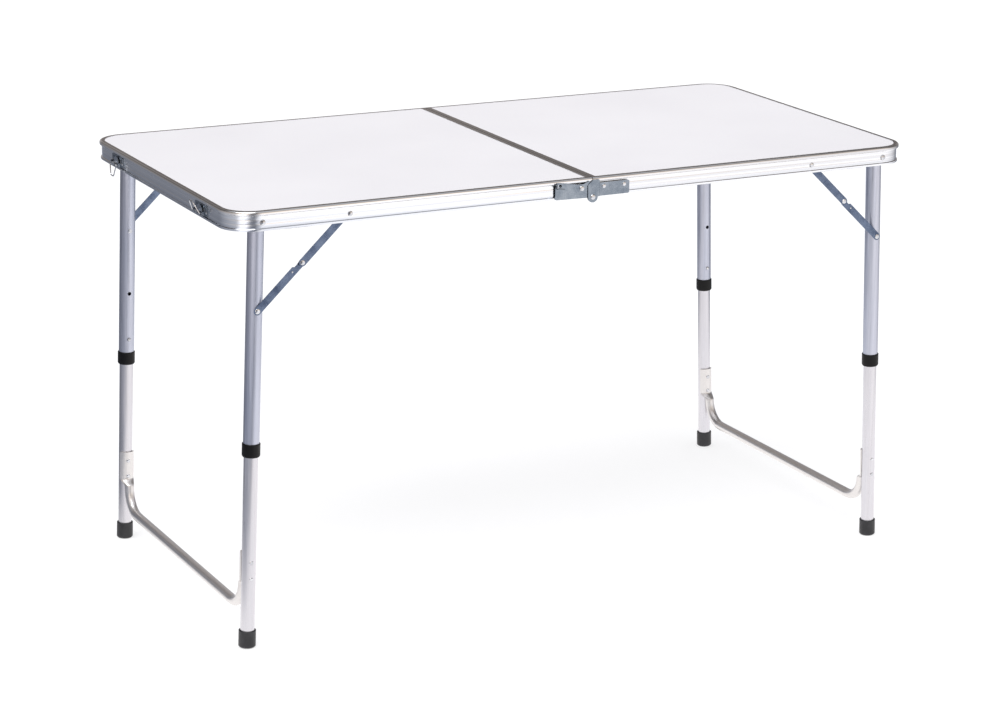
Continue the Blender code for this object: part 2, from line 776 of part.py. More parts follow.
def build_braces(looks, legs, halves):
    pivot = Vector((BRACE_X, 0))
    on_leg = Vector((-BRACE_ON_LEG * math.sin(SPLAY), -BRACE_ON_LEG * math.cos(SPLAY)))
    span = on_leg - pivot
    slope = math.atan2(span.y, span.x)
    lower_length = span.length - UPPER_LINK
    hole = LINK_SHANK + GAP
    upper_loops = [link_outline(UPPER_LINK, False), circle((0, 0), hole)]
    upper_plate = outline("link", upper_loops, LINK_THICKNESS, LINK_CHAMFER)
    upper_plate = as_mesh(upper_plate)
    face = LINK_THICKNESS / 2
    spacer = UPPER_LINK_Y - LOWER_LINK_Y - LINK_THICKNESS / 2 - KNEE_GAP
    knee_profile = dome(0.0042, face - 0.0001, 0.0016)
    knee_profile += [(0.0042, 0), (0.0038, 0), (0.0038, -spacer), (0, -spacer)]
    knee = turned("knee", knee_profile)
    knee.location = (UPPER_LINK, 0, 0)
    combine(upper_plate, [knee], "UNION")
    upper_plate.data.transform(Matrix.Rotation(slope, 4, "Z"))
    upper_mesh = finish(upper_plate)
    lower_loops = [link_outline(lower_length, True), circle((0, 0), hole)]
    lower_plate = outline("link", lower_loops, LINK_THICKNESS, LINK_CHAMFER)
    lower_plate = as_mesh(lower_plate)
    dimple = turned("dimple", dome(0.0016, face - 0.0001, 0.0007) + [(0.0016, 0), (0, 0)])
    dimple.location = (lower_length - 0.0205, 0.0008, 0)
    combine(lower_plate, [dimple], "UNION")
    lower_plate.data.transform(Matrix.Rotation(slope + math.pi, 4, "Z"))
    lower_mesh = finish(lower_plate)
    upright = (math.pi / 2, 0, 0)
    for side_name, side in SIDES.items():
        for end_name, end in ENDS.items():
            name = f"{side_name}_{end_name}_brace"
            place = (side * (PIVOT_X - pivot.x), end * UPPER_LINK_Y, PIVOT_Z)
            upper = add(f"{name}_upper", handed(upper_mesh, -side, -end), place, upright)
            attach(paint(upper, looks["steel"]), halves[side_name])
            place = (side * (PIVOT_X - on_leg.x), end * LOWER_LINK_Y, PIVOT_Z + on_leg.y)
            lower = add(f"{name}_lower", handed(lower_mesh, -side, -end), place, upright)
            attach(paint(lower, looks["steel"]), legs[side_name])


# ---------------------------------------------------------------- centre hinges
# A hinge piece is drawn upright from the front: +X along the table, +Y up, +Z out of the table.


def leaf_rivet(name, x, y, head):
    """Rivet through the web, heights from the middle of the leaf. A flush one has no head."""
    inner = LEAF_MIDDLE - (WIDTH / 2 - WEB_RECESS - WEB_THICKNESS) + GAP
    face = LEAF_THICKNESS / 2
    profile = dome(0.0036, face - 0.0001, 0.0016) + [(0.0036, 0)] if head else [(0, face - 0.0003)]
    profile += [(0.0020, 0 if head else face - 0.0003), (0.0020, -inner)]
    profile += [(0.0034, -inner), (0.0030, -inner - 0.0010), (0, -inner - 0.0014)]
    item = turned(name, profile)
    item.location = (x, y, 0)
    return item


def left_leaf_mesh():
    """Left leaf, origin on the hinge axis in the middle of the plate."""
    low = HINGE_DROP
    high = low + LEAF_HEIGHT
    corner = 0.0025
    loop = arc((corner - LEAF_LENGTH, high - corner), corner, 90, 180, 4)
    loop += arc((corner - LEAF_LENGTH, low + corner), corner, 180, 270, 4)
    loop += arc((0, 0), EAR_RADIUS, 184, 420, 14)
    loop += [(-0.0060, high)]
    rivet_y = LEAF_RIVET_Z - HINGE_Z
    holes = [circle((0, 0), 0.0030 + GAP), circle((-LEAF_RIVETS[0], rivet_y), 0.0020 + GAP)]
    leaf = as_mesh(outline("leaf", [loop] + holes, LEAF_THICKNESS))
    combine(leaf, [leaf_rivet("rivet", -LEAF_RIVETS[1], rivet_y, False)], "UNION")
    mesh = leaf.data
    drop(leaf)
    return smooth(mesh)


def right_leaf_mesh():
    """Right leaf, jogged out in front of the left leaf's ear, with the hinge pin."""
    low = HINGE_DROP
    high = low + LEAF_HEIGHT
    corner = 0.0025
    step = EAR_MIDDLE - LEAF_MIDDLE
    half = LEAF_THICKNESS / 2
    jog = EAR_JOG + 0.0010
    plan = [(-0.02, step - half), (EAR_JOG - 0.0006, step - half), (jog, -half), (0.08, -half)]
    plan += [(0.08, half), (jog + 0.0006, half), (EAR_JOG, step + half), (-0.02, step + half)]
    strip = outline("strip", [plan[::-1]], 0.08)
    strip.rotation_euler = (math.pi / 2, 0, 0)
    leaf = as_mesh(strip)
    leaf.data.transform(leaf.matrix_world)
    leaf.matrix_world = Matrix.Identity(4)
    loop = arc((0, 0), EAR_RADIUS, 180, 360, 12)
    loop += [(EAR_RADIUS, low)] + arc((LEAF_LENGTH - corner, low + corner), corner, 270, 360, 4)
    loop += arc((LEAF_LENGTH - corner, high - corner), corner, 0, 90, 4)
    loop += [(EAR_JOG + 0.0014, high), (EAR_JOG - 0.0014, high + 0.006), (0.0005, high + 0.006)]
    loop += [(-0.0088, high - 0.001)]
    side = as_mesh(outline("side", [loop], 0.05))
    combine(leaf, [side], "INTERSECT")
    pin = [(r, z) for r, z in dome(0.0046, step + half - 0.0001, 0.0020)]
    pin += [(0.0046, step), (0.0030, step), (0.0030, 0.0001 - half), (0, 0.0001 - half)]
    rivet_y = LEAF_RIVET_Z - HINGE_Z
    tools = [turned("pin", pin)]
    tools += [leaf_rivet("rivet", x, rivet_y, True) for x in LEAF_RIVETS]
    combine(leaf, tools, "UNION")
    mesh = leaf.data
    drop(leaf)
    return smooth(mesh)


def tilted(x, y):
    """A point of the lever's bar, drawn level with the finger end at -X, raised to its rest tilt."""
    c = math.cos(LOCK_TILT)
    s = math.sin(LOCK_TILT)
    return (x * c + y * s, y * c - x * s)


def lever_mesh():
    """Lock lever, origin on its rivet in the middle of the plate."""
    reach = LOCK_REACH
    loop = arc((0, 0), 0.0062, 262, 350, 8)
    loop += [(0.0120, 0.0070), (0.0148, 0.0088), (0.0126, 0.0108), (0.0030, 0.0066)]
    loop += [tilted(-0.008, 0.0054), tilted(0.002 - reach, 0.0050), tilted(-reach, 0.0030)]
    loop += [tilted(-reach, -0.0034), tilted(0.002 - reach, -0.0052), tilted(-0.008, -0.0054)]
    hole = circle((0, 0), 0.0020 + GAP)
    eye = circle(tilted(-0.0384, 0.0002), 0.0026)
    lever = as_mesh(outline("lever", [loop, hole, eye], LOCK_THICKNESS))
    half = LOCK_THICKNESS / 2
    tabs = [
        box("end_tab", (-reach + 0.0001, -0.0032, -half + 0.0001), (-reach + 0.0013, 0.0028, 0.0052)),
        box("low_tab", (-reach + 0.0020, -0.0050, -half + 0.0001), (-0.0300, -0.0038, 0.0042)),
    ]
    for tab in tabs:
        tab.rotation_euler = (0, 0, -LOCK_TILT)
    combine(lever, tabs, "UNION")
    mesh = lever.data
    drop(lever)
    return smooth(mesh)


def lock_rivet_mesh():
    """Rivet of the lock lever, heights from the middle of the lever."""
    head = LOCK_THICKNESS / 2 + GAP
    inner = EAR_MIDDLE - (WIDTH / 2 - WEB_RECESS - WEB_THICKNESS) + GAP
    profile = dome(0.0042, head, 0.0018) + [(0.0020, head), (0.0020, -inner)]
    profile += [(0.0034, -inner), (0.0030, -inner - 0.0010), (0, -inner - 0.0014)]
    item = turned("rivet", profile)
    mesh = evaluated_mesh(item)
    drop(item)
    return smooth(mesh)


def build_hinges(looks, halves):
    left = left_leaf_mesh()
    right = right_leaf_mesh()
    lever = lever_mesh()
    rivet = lock_rivet_mesh()
    lock_place = (-LEAF_RIVETS[0], LEAF_RIVET_Z)
    pieces = (
        ("hinge_leaf_left", left, (0, HINGE_Z), LEAF_MIDDLE, "left"),
        ("hinge_leaf_right", right, (0, HINGE_Z), LEAF_MIDDLE, "right"),
        ("lock_lever", lever, lock_place, EAR_MIDDLE, "left"),
        ("lock_rivet", rivet, lock_place, EAR_MIDDLE, "left"),
    )
    for end_name, end in ENDS.items():
        for piece, mesh, (x, z), y, side_name in pieces:
            made = handed(mesh, 1, -end)
            item = add(f"{end_name}_{piece}", made, (x, end * y, z), (math.pi / 2, 0, 0))
            attach(paint(item, looks["steel"]), halves[side_name])


# ---------------------------------------------------------------- clasps
# A clasp piece is drawn facing out: +X along the end rail, +Y up, +Z out, +Z = 0 at the plate's back.


def clasp_plate():
    """Plate with its two rivets, shared by the bases and the catches."""
    half_x = CLASP_PLATE[0] / 2
    half_y = CLASP_PLATE[1] / 2
    corner = 0.003
    loop = []
    for x, y, start in ((1, -1, 270), (1, 1, 0), (-1, 1, 90), (-1, -1, 180)):
        centre = (x * (half_x - corner), y * (half_y - corner))
        loop += arc(centre, corner, start, start + 90, 4)
    eyes = [circle((x, 0.0050), 0.0016, 10) for x in (-0.0150, 0.0150)]
    plate = outline("plate", [loop] + eyes, CLASP_THICKNESS)
    plate.location = (0, 0, CLASP_THICKNESS / 2)
    plate = as_mesh(plate)
    plate.data.transform(plate.matrix_world)
    plate.matrix_world = Matrix.Identity(4)
    inner = GAP + WEB_THICKNESS + GAP
    rivets = []
    for x in (-CLASP_RIVET_OFFSET, CLASP_RIVET_OFFSET):
        profile = dome(0.0028, CLASP_THICKNESS - 0.0001, 0.0011, 2)
        profile += [(0.0028, 0.0004), (0.0015, 0.0004), (0.0015, -inner)]
        profile += [(0.0028, -inner), (0.0025, -inner - 0.0008), (0, -inner - 0.0012)]
        rivet = turned("rivet", profile, 10)
        rivet.location = (x, -CLASP_RIVET_DROP, 0)
        rivets.append(rivet)
    return combine(plate, rivets, "UNION")


def pin_along(name, radius, y, z, reach, steps=10):
    """A rod along X through (y, z), reaching the same distance both ways."""
    item = rod(name, radius, reach, -reach, steps)
    item.location = (0, y, z)
    item.rotation_euler = (0, math.pi / 2, 0)
    return item


def clasp_base_mesh():
    base = clasp_plate()
    ears = []
    for x in (-1, 1):
        low, high = sorted((x * CLASP_EAR, x * (CLASP_EAR + 0.0014)))
        ears.append(box("ear", (low, LEVER_AXIS[0] - 0.0026, 0.0006), (high, LEVER_AXIS[0] + 0.0040, 0.0066)))
    combine(base, ears, "UNION")
    hole = pin_along("hole", 0.0010 + GAP, *LEVER_AXIS, 0.030)
    return finish(combine(base, [hole], "DIFFERENCE"))


def clasp_lever_mesh():
    """Leaf-shaped lever with its pin, origin on the pin."""
    top = 0.0122
    loop = [(-0.0095, -0.0006), (0.0095, -0.0006), (0.0100, 0.0030), (0.0085, 0.0080), (0.0050, 0.0110)]
    loop += [(0, top), (-0.0050, 0.0110), (-0.0085, 0.0080), (-0.0100, 0.0030)]
    plate = outline("lever", [loop], 0.0011)
    plate.location = (0, 0, -0.0012)
    plate = as_mesh(plate)
    plate.data.transform(plate.matrix_world)
    plate.matrix_world = Matrix.Identity(4)
    tools = [pin_along("knuckle", 0.0021, 0, 0, 0.0096), pin_along("pin", 0.0010, 0, 0, CLASP_EAR + 0.0014)]
    combine(plate, tools, "UNION")
    ears = []
    y, z = BAIL_AXIS
    for x in (-1, 1):
        low, high = sorted((x * 0.0070, x * 0.0088))
        ears.append(box("ear", (low, y - 0.0021, -0.0010), (high, y + 0.0021, z + 0.0021)))
    combine(plate, ears, "UNION")
    hole = pin_along("hole", BAIL_WIRE + GAP, y, z, 0.030)
    return finish(combine(plate, [hole], "DIFFERENCE"))


def bail_mesh():
    """Wire loop, origin on its axis, hanging towards +Y."""
    half = BAIL_HALF
    corner = 0.0050
    places = [(-0.0072, 0), (0.0012 - half, 0)] + arc((0.0012 - half, 0.0012), 0.0012, 270, 180, 4)[1:]
    places += arc((corner - BAIL_TIP, BAIL_LENGTH - corner), corner, 158, 90, 6)
    places += [(-x, y) for x, y in reversed(places)]
    path = bpy.data.curves.new("bail", "CURVE")
    path.dimensions = "3D"
    path.bevel_depth = BAIL_WIRE
    path.bevel_resolution = 1
    path.use_fill_caps = True
    spline = path.splines.new("POLY")
    spline.points.add(len(places) - 1)
    for point, place in zip(spline.points, places):
        point.co = (place[0], place[1], 0, 1)
    return smooth(shaped(add("bail", path)))


def catch_mesh():
    """Plate with a hook that opens away from the floor."""
    plate = clasp_plate()
    hook = [(0.0006, -0.0060), (0.0062, -0.0060), (0.0062, 0.0020), (0.0048, 0.0020), (0.0048, -0.0044)]
    hook += [(0.0006, -0.0044)]
    tool = outline("hook", [hook], HOOK_WIDTH)
    tool.rotation_euler = (0, -math.pi / 2, 0)
    tool = as_mesh(tool)
    tool.data.transform(tool.matrix_world)
    tool.matrix_world = Matrix.Identity(4)
    return finish(combine(plate, [tool], "UNION"))


def facing(side, end, y, z):
    """Placement on an end rail: local X along the rail, Y up, Z out of the table."""
    out = Vector((side, 0, 0))
    along = Vector((0, side, 0))
    turn = Matrix((along, (0, 0, 1), out)).transposed().to_4x4()
    back = LENGTH / 2 - WEB_RECESS + GAP
    return Matrix.Translation((side * (back + z), end * CLASP_Y, CLASP_Z + y)) @ turn


def build_clasps(looks, halves):
    base = clasp_base_mesh()
    lever = clasp_lever_mesh()
    bail = bail_mesh()
    catch = catch_mesh()
    for end_name, end in ENDS.items():
        name = f"{end_name}_clasp"
        item = paint(add(f"{name}_base", base), looks["steel"])
        item.matrix_world = facing(-1, end, 0, 0)
        attach(item, halves["left"])
        arm = paint(add(f"{name}_lever", lever), looks["steel"])
        arm.matrix_world = facing(-1, end, *LEVER_AXIS)
        attach(arm, item)
        loop = paint(add(f"{name}_bail", bail), looks["steel"])
        place = facing(-1, end, LEVER_AXIS[0] + BAIL_AXIS[0], LEVER_AXIS[1] + BAIL_AXIS[1])
        loop.matrix_world = place @ Matrix.Rotation(BAIL_REST[end_name], 4, "X")
        attach(loop, arm)
        item = paint(add(f"{name}_catch", catch), looks["steel"])
        item.matrix_world = facing(1, end, 0, 0)
        attach(item, halves["right"])


# ---------------------------------------------------------------- build


def main():
    clear_scene()
    collection(PARTS)
    looks = {
        "frame": material("satin_aluminium", (0.80, 0.81, 0.83), 1.0, 0.34),
        "tube": material("anodised_tube", (0.78, 0.79, 0.84), 1.0, 0.28),
        "panel": material("white_board", (0.86, 0.86, 0.88), 0.0, 0.45),
        "plastic": material("black_plastic", (0.015, 0.015, 0.017), 0.0, 0.42),
        "steel": material("zinc_steel", (0.33, 0.36, 0.43), 1.0, 0.30),
    }
    halves = build_halves(looks)
    build_rail_rivets(looks, halves)
    legs = build_legs(looks, halves)
    build_braces(looks, legs, halves)
    build_hinges(looks, halves)
    build_clasps(looks, halves)


main()
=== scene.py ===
"""Folding table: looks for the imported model. Metres, +Z up, the model's own frame."""

import json
import math

import bmesh
import bpy
from mathutils import Matrix, Vector

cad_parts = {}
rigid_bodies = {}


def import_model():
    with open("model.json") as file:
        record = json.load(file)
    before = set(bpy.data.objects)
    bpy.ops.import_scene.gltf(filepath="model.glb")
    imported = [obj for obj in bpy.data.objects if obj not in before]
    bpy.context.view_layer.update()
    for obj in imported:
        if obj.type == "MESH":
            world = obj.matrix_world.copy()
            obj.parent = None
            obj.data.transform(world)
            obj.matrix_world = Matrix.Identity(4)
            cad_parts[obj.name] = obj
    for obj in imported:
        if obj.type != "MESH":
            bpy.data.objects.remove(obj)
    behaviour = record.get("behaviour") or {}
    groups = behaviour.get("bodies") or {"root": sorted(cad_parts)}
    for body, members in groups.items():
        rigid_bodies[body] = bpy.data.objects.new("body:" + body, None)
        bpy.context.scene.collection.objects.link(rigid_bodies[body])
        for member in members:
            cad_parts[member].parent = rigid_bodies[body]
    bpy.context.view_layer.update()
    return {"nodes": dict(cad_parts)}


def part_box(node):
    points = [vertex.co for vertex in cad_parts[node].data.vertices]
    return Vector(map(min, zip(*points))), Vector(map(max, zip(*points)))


for item in list(bpy.data.objects):
    bpy.data.objects.remove(item, do_unlink=True)

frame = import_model()
nodes = frame["nodes"]

PLAIN = (1, 1, 1)  # object position with no stretch
WHITE = (1, 1, 1, 1)

# What tells a rail's lip and a rivet's head from the rest of a piece.
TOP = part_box("left_edge_frame")[1].z
LIP_DEPTH = 0.0004  # a lip lies no deeper than this below the top
LEVEL = 0.9  # upward part of a level face's normal
FLAT = 0.999  # part of a flat face's normal along its plate's axis
HEAD_TILT = 0.2  # the least of that on a rivet head
HEAD_STEP = 0.0002  # a head's facets are further than this from every plate
PLATE_AREA = 0.00006  # square metres at one level that make it a plate
FACET_AREA = 0.000005  # a head's facets are smaller than this
HEAD_RISE = 0.00015  # a head on a tube rises at least this far
RING_DEPTH = 0.004  # the stretch at a tube's end that gives its radius
SMOOTH_ANGLE = 32  # degrees between faces that are shaded as one surface
SADDLE_ANGLE = 55  # the same on the crossbars, where the tube is flattened


# ---------------------------------------------------------------- node helpers


class Nodes:
    """Short calls that add and link shader nodes in one material."""

    def __init__(self, name, slot_colour):
        self.material = bpy.data.materials.new(name)
        self.material.use_nodes = True
        self.material.diffuse_color = (*slot_colour, 1)
        self.tree = self.material.node_tree
        self.shader = self.tree.nodes["Principled BSDF"]

    def add(self, kind, **values):
        made = self.tree.nodes.new(kind)
        for key, value in values.items():
            setattr(made, key, value)
        return made

    def link(self, out, into):
        self.tree.links.new(out, into)

    def position(self, scale):
        """Object position, stretched: a small number on an axis draws the pattern out along it."""
        place = self.add("ShaderNodeTexCoord")
        mapping = self.add("ShaderNodeMapping")
        mapping.inputs["Scale"].default_value = scale
        self.link(place.outputs["Object"], mapping.inputs["Vector"])
        return mapping.outputs["Vector"]

    def noise(self, vector, scale, detail=4.0, roughness=0.55):
        made = self.add("ShaderNodeTexNoise")
        made.inputs["Scale"].default_value = scale
        made.inputs["Detail"].default_value = detail
        made.inputs["Roughness"].default_value = roughness
        self.link(vector, made.inputs["Vector"])
        return made.outputs["Fac"]

    def ramp(self, value, stops):
        made = self.add("ShaderNodeValToRGB")
        band = made.color_ramp
        while len(band.elements) < len(stops):
            band.elements.new(0.5)
        for element, (place, colour) in zip(band.elements, stops):
            element.position = place
            element.color = (*colour, 1)
        self.link(value, made.inputs["Fac"])
        return made.outputs["Color"]

    def spread(self, value, low, high, start=0.3, end=0.7):
        """Maps start..end of a value to low..high. A noise lies mostly between 0.3 and 0.7."""
        made = self.add("ShaderNodeMapRange")
        made.inputs["From Min"].default_value = start
        made.inputs["From Max"].default_value = end
        made.inputs["To Min"].default_value = low
        made.inputs["To Max"].default_value = high
        self.link(value, made.inputs["Value"])
        return made.outputs["Result"]

    def feed(self, value, socket):
        """Links another node's output, or sets a plain value."""
        if isinstance(value, bpy.types.NodeSocket):
            self.link(value, socket)
        else:
            socket.default_value = value

    def mix(self, factor, one, two, mode="MIX"):
        made = self.add("ShaderNodeMix", data_type="RGBA", blend_type=mode)
        colours = [socket for socket in made.inputs if socket.type == "RGBA"]
        self.feed(factor, made.inputs["Factor"])
        self.feed(one, colours[0])
        self.feed(two, colours[1])
        return next(socket for socket in made.outputs if socket.type == "RGBA")

    def math(self, operation, one, two):
        made = self.add("ShaderNodeMath", operation=operation)
        self.feed(one, made.inputs[0])
        self.feed(two, made.inputs[1])
        return made.outputs[0]

    def bump(self, height, strength, distance, before=None):
        made = self.add("ShaderNodeBump")
        made.inputs["Strength"].default_value = strength
        made.inputs["Distance"].default_value = distance
        self.link(height, made.inputs["Height"])
        if before:
            self.link(before, made.inputs["Normal"])
        return made.outputs["Normal"]

    def set(self, **values):
        for key, value in values.items():
            self.shader.inputs[key.replace("_", " ")].default_value = value


# ---------------------------------------------------------------- materials


LAMINATE_FLAT = (0.86, 0.86, 0.88)  # where no nodes are drawn
LAMINATE_DARK = (0.840, 0.824, 0.855)
LAMINATE_LIGHT = (0.865, 0.849, 0.875)
LAMINATE_GRAIN = 1400.0  # noise cells to the metre, here and below
LAMINATE_CLOUD = 3.5
PLASTIC_DARK = (0.010, 0.010, 0.012)
PLASTIC_LIGHT = (0.030, 0.030, 0.034)
PLASTIC_GRAIN = 2600.0
PLASTIC_CLOUD = 60.0
METAL_CLOUD = (9, 9, 9)
BROAD = 0.12  # spacing of the stained bands against that of the drawing lines
ZINC_CLOUD = 55.0
ZINC_SPANGLE = 700.0
SPANGLE_SHARE = 0.22
CLOUD_SHARE = 0.85


def aluminium(name, colour, stretch, rough, streak=0.10, stain=0.05):
    """Drawn aluminium. stretch is small along the direction in which it was drawn."""
    m = Nodes(name, colour)
    m.set(Metallic=1.0)
    lines = m.noise(m.position(stretch), 1.0, 5.0, 0.6)
    broad = m.noise(m.position(tuple(BROAD * s for s in stretch)), 1.0, 2.0)
    cloud = m.noise(m.position(METAL_CLOUD), 1.0, 3.0)
    dark = tuple(c * (1 - streak) for c in colour)
    light = tuple(min(1.0, c * (1 + 0.5 * streak)) for c in colour)
    base = m.ramp(lines, [(0.30, dark), (0.72, light)])
    cool = (1 - stain, 1 - 0.6 * stain, 1.0, 1)
    tint = m.mix(m.spread(broad, 0.0, 1.0), WHITE, cool)
    m.link(m.mix(1.0, base, tint, "MULTIPLY"), m.shader.inputs["Base Color"])
    patches = m.spread(cloud, rough - 0.04, rough + 0.05)
    wear = m.math("ADD", m.spread(lines, -0.06, 0.07), patches)
    m.link(wear, m.shader.inputs["Roughness"])
    fine = m.bump(lines, 0.04, 0.0002)
    m.link(m.bump(cloud, 0.05, 0.0008, fine), m.shader.inputs["Normal"])
    return m.material


def board(name):
    """White laminate with a faint satin texture."""
    m = Nodes(name, LAMINATE_FLAT)
    grain = m.noise(m.position(PLAIN), LAMINATE_GRAIN, 3.0)
    cloud = m.noise(m.position(PLAIN), LAMINATE_CLOUD, 4.0)
    base = m.ramp(cloud, [(0.30, LAMINATE_DARK), (0.72, LAMINATE_LIGHT)])
    m.link(base, m.shader.inputs["Base Color"])
    satin = m.math("ADD", m.spread(grain, -0.03, 0.03), m.spread(cloud, 0.40, 0.47))
    m.link(satin, m.shader.inputs["Roughness"])
    m.set(Metallic=0.0, IOR=1.46)
    m.link(m.bump(grain, 0.06, 0.0001), m.shader.inputs["Normal"])
    return m.material


def plastic(name, tone, gloss, rough):
    """Black injection-moulded plastic with a fine spark grain and rubbed patches."""
    dark = tuple(c * tone for c in PLASTIC_DARK)
    light = tuple(c * tone for c in PLASTIC_LIGHT)
    m = Nodes(name, light)
    grain = m.noise(m.position(PLAIN), PLASTIC_GRAIN, 2.0)
    cloud = m.noise(m.position(PLAIN), PLASTIC_CLOUD, 4.0)
    m.link(m.ramp(cloud, [(0.35, dark), (0.75, light)]), m.shader.inputs["Base Color"])
    patches = m.spread(cloud, rough - 0.07, rough + 0.07)
    worn = m.math("ADD", m.spread(grain, -0.05, 0.05), patches)
    m.link(worn, m.shader.inputs["Roughness"])
    m.set(Metallic=0.0, IOR=gloss)
    m.link(m.bump(grain, 0.25, 0.0001), m.shader.inputs["Normal"])
    return m.material


def zinc(name, dark, light, rough):
    """Zinc-plated steel: clouds and small crystals."""
    m = Nodes(name, light)
    m.set(Metallic=1.0)
    cloud = m.noise(m.position(PLAIN), ZINC_CLOUD, 5.0, 0.6)
    spangle = m.add("ShaderNodeTexVoronoi", feature="F1")
    spangle.inputs["Scale"].default_value = ZINC_SPANGLE
    m.link(m.position(PLAIN), spangle.inputs["Vector"])
    crystals = m.math("MULTIPLY", spangle.outputs["Distance"], SPANGLE_SHARE)
    blend = m.math("ADD", crystals, m.math("MULTIPLY", cloud, CLOUD_SHARE))
    m.link(m.ramp(blend, [(0.34, dark), (0.76, light)]), m.shader.inputs["Base Color"])
    m.link(m.spread(blend, rough - 0.06, rough + 0.10), m.shader.inputs["Roughness"])
    m.link(m.bump(cloud, 0.08, 0.0004), m.shader.inputs["Normal"])
    return m.material


# The aluminium's first number is its roughness, then how strong its lines and its stains are.
DRAWN_ROUND = (0.6, 0.6, 300.0)  # grain that runs round the table's edge
DRAWN_UP = (420.0, 420.0, 1.6)  # grain along an upright tube
DRAWN_ACROSS = (420.0, 1.6, 420.0)  # grain along a crossbar

LOOKS = {
    "frame": aluminium("extruded_aluminium", (0.88, 0.88, 0.91), DRAWN_ROUND, 0.15, 0.26),
    # painted dark reflection: the lip's base colour is darkened to stand in for the dark
    # surroundings it reflects
    "lip": aluminium("lip_aluminium", (0.35, 0.335, 0.34), DRAWN_ROUND, 0.30),
    "tube": aluminium("anodised_tube", (0.55, 0.56, 0.63), DRAWN_UP, 0.36, 0.14, 0.10),
    "lower": aluminium("bright_tube", (0.65, 0.635, 0.66), DRAWN_UP, 0.30, 0.10, 0.04),
    "bar": aluminium("bright_crossbar", (0.72, 0.70, 0.69), DRAWN_ACROSS, 0.36, 0.08, 0.0),
    "board": board("white_laminate"),
    "collar": plastic("moulded_collar", 0.12, 1.30, 0.40),
    "foot": plastic("moulded_foot", 1.0, 1.46, 0.45),
    "zinc": zinc("zinc_plate", (0.15, 0.18, 0.22), (0.34, 0.38, 0.43), 0.26),
    # painted highlight: a lighter copy of the zinc plate, standing in for the light the clasp
    # lever catches
    "painted_lit_zinc": zinc("zinc_plate_painted_highlight", (0.30, 0.34, 0.40), (0.62, 0.65, 0.70), 0.20),
    "brace": zinc("brace_plate", (0.06, 0.08, 0.13), (0.19, 0.235, 0.33), 0.24),
    # partly a brighter metal and partly a painted highlight: the light base colour stands in for
    # the highlights on the rivet domes and the bail wire
    "rivet": zinc("rivet_metal_with_painted_highlight", (0.44, 0.45, 0.48), (0.78, 0.79, 0.81), 0.10),
}


# ---------------------------------------------------------------- CAD nodes


def soften(item, degrees):
    """Smooth normals where the faces meet at a small angle. No vertex moves."""
    mesh = item.data
    limit = math.cos(math.radians(degrees))
    meeting = {}
    for face in mesh.polygons:
        for corner in face.loop_indices:
            place = mesh.vertices[mesh.loops[corner].vertex_index].co
            key = (round(place.x, 6), round(place.y, 6), round(place.z, 6))
            meeting.setdefault(key, []).append((corner, face.normal.copy(), face.area))
    normals = [Vector((0, 0, 1))] * len(mesh.loops)
    for corners in meeting.values():
        for corner, normal, _ in corners:
            total = Vector((0, 0, 0))
            for _, other, area in corners:
                if normal.dot(other) > limit:
                    total += other * area
            normals[corner] = total.normalized() if total.length > 0 else normal
    mesh.polygons.foreach_set("use_smooth", [True] * len(mesh.polygons))
    mesh.normals_split_custom_set(normals)


def look_for(name):
    endings = (
        ("_panel", "board"),
        ("_edge_frame", "frame"),
        ("_seam_rail", "frame"),
        ("_upper_tube", "tube"),
        ("_lower_tube", "lower"),
        ("_crossbar", "bar"),
        ("_collar", "collar"),
        ("_foot", "foot"),
        ("_leg_pivot", "rivet"),
        ("_brace_rivet", "rivet"),
        ("_clasp_bail", "rivet"),
        # the clasp lever gets the lighter zinc copy, a painted highlight
        ("_clasp_lever", "painted_lit_zinc"),
        ("_brace_upper", "brace"),
        ("_brace_lower", "brace"),
        ("_lock_rivet", "rivet"),
        ("_snap_button", "rivet"),
    )
    for ending, look in endings:
        if name.endswith(ending):
            return look
    return "zinc"


def lip_faces(mesh):
    """The flat top of the frame, which gets a darker base colour than the bead beside it: a
    painted dark reflection.
    """
    for face in mesh.polygons:
        lowest = min(mesh.vertices[i].co.z for i in face.vertices)
        if lowest > TOP - LIP_DEPTH and face.normal.z > LEVEL:
            yield face


def head_faces(mesh, axis):
    """Rivet heads: small facets that stand out from the wide flat faces. They get the brighter
    rivet material, partly a brighter metal and partly a painted highlight.
    """
    flat = {}
    for face in mesh.polygons:
        if abs(face.normal[axis]) > FLAT:
            level = round(abs(face.center[axis]), 4)
            flat[level] = flat.get(level, 0) + face.area
    plates = [level for level, area in flat.items() if area > PLATE_AREA]
    for face in mesh.polygons:
        place = abs(face.center[axis])
        outward = face.normal[axis] * face.center[axis] > 0
        clear = all(abs(place - level) > HEAD_STEP for level in plates)
        small = face.area < FACET_AREA
        if outward and clear and small and abs(face.normal[axis]) > HEAD_TILT:
            yield face


def tube_heads(mesh):
    """Rivet heads, which stand out from a tube to the front and the rear."""
    lowest = min(vertex.co.z for vertex in mesh.vertices)
    end_ring = [vertex.co.y for vertex in mesh.vertices if vertex.co.z < lowest + RING_DEPTH]
    middle = (min(end_ring) + max(end_ring)) / 2
    radius = (max(end_ring) - min(end_ring)) / 2
    for face in mesh.polygons:
        if abs(face.center.y - middle) > radius + HEAD_RISE:
            yield face


